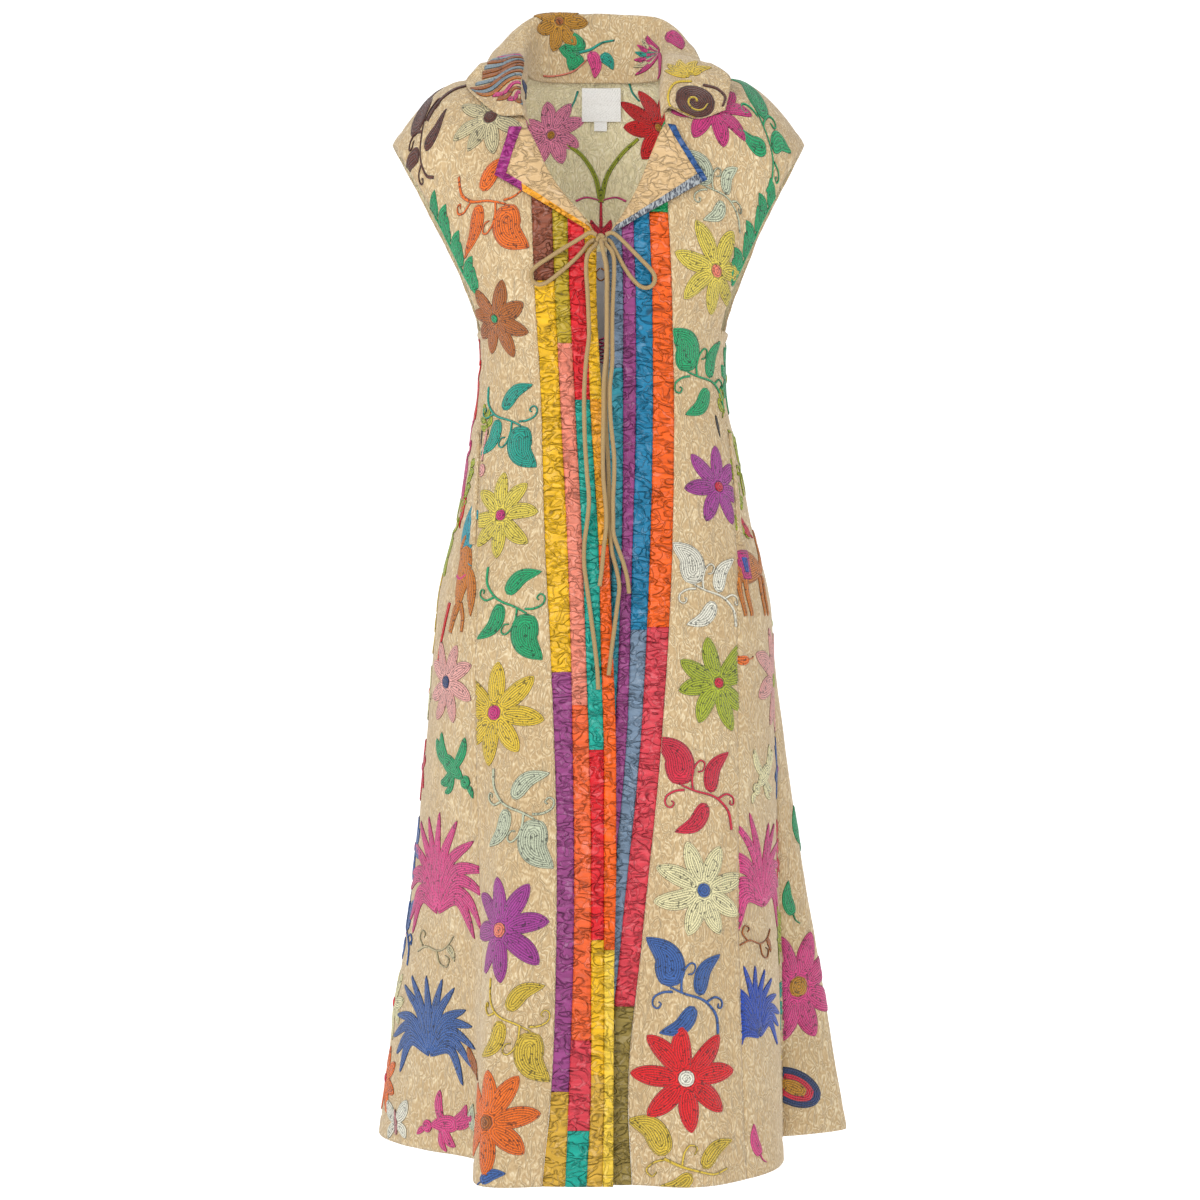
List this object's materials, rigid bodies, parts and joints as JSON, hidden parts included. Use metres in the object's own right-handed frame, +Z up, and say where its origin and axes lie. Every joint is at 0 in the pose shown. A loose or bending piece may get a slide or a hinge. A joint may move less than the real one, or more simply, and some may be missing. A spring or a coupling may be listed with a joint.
{
  "type": "embroidered vest",
  "caption": "Long sleeveless open-front vest in embroidered cloth, with a folded collar, small lapels, satin patchwork fronts and a tie at the chest.",
  "frame": {"origin": "between the shoulders beside the neck, where the wearer holds the garment up", "axes": "+Z up, -Y towards the front, +X towards the wearer's left"},
  "size_m": [0.5347, 0.44, 1.2876],
  "materials": {
    "embroidered_cloth": "matt tan cotton covered all over with tonal chain stitch and large embroidered flowers",
    "satin_brown": "shiny crinkled satin",
    "satin_yellow": "shiny crinkled satin",
    "satin_purple": "shiny crinkled satin",
    "satin_gold": "shiny crinkled satin",
    "satin_mustard": "shiny crinkled satin",
    "satin_salmon": "shiny crinkled satin",
    "satin_coral": "shiny crinkled satin",
    "satin_rose": "shiny crinkled satin",
    "satin_teal": "shiny crinkled satin",
    "satin_red": "shiny crinkled satin",
    "satin_amber": "shiny crinkled satin",
    "satin_orange": "shiny crinkled satin",
    "satin_straw": "shiny crinkled satin",
    "satin_green": "shiny crinkled satin",
    "satin_olive": "shiny crinkled satin",
    "satin_blue": "shiny crinkled satin",
    "satin_slate": "shiny crinkled satin",
    "satin_lagoon": "shiny crinkled satin",
    "lapel_facing": "quilted tan facing",
    "satin_magenta": "shiny crinkled satin",
    "label_tape": "white woven tape, blank",
    "tie_cord": "smooth khaki rouleau cord"
  },
  "bodies": {
    "root": {"front_panel_left": "embroidered_cloth", "front_panel_right": "embroidered_cloth", "side_panel_left": "embroidered_cloth", "side_panel_right": "embroidered_cloth", "back_panel": "embroidered_cloth", "strip_left_1_1_brown": "satin_brown", "strip_left_1_2_yellow": "satin_yellow", "strip_left_1_3_purple": "satin_purple", "strip_left_1_4_gold": "satin_gold", "strip_left_2_1_mustard": "satin_mustard", "strip_left_2_2_salmon": "satin_salmon", "strip_left_2_3_coral": "satin_coral", "strip_left_2_4_rose": "satin_rose", "strip_left_2_5_teal": "satin_teal", "strip_left_3_1_red": "satin_red", "strip_left_3_2_teal": "satin_teal", "strip_left_3_3_red": "satin_red", "strip_left_3_4_yellow": "satin_yellow", "strip_left_3_5_gold": "satin_gold", "strip_left_4_1_yellow": "satin_yellow", "strip_left_4_2_amber": "satin_amber", "strip_left_4_3_orange": "satin_orange", "strip_left_4_4_straw": "satin_straw", "strip_right_1_1_green": "satin_green", "strip_right_1_2_orange": "satin_orange", "strip_right_1_3_rose": "satin_rose", "strip_right_1_4_olive": "satin_olive", "strip_right_2_1_rose": "satin_rose", "strip_right_2_2_blue": "satin_blue", "strip_right_2_3_slate": "satin_slate", "strip_right_3_1_purple": "satin_purple", "strip_right_4_1_slate": "satin_slate", "strip_right_4_2_lagoon": "satin_lagoon", "lapel_left": "lapel_facing", "lapel_left_side_trim_magenta": "satin_magenta", "lapel_left_lower_trim_yellow": "satin_yellow", "lapel_right": "lapel_facing", "lapel_right_side_trim_blue": "satin_blue", "lapel_right_lower_trim_slate": "satin_slate", "collar": "embroidered_cloth", "pocket_welt_left": "satin_brown", "pocket_welt_right": "satin_brown", "label": "label_tape", "size_tab": "label_tape", "tie_knot": "tie_cord", "tie_loop_left": "tie_cord", "tie_loop_right": "tie_cord", "tie_tail_left": "tie_cord", "tie_tail_right": "tie_cord", "tie_tail_middle": "tie_cord", "tie_tail_inner": "tie_cord"}
  },
  "joints": []
}
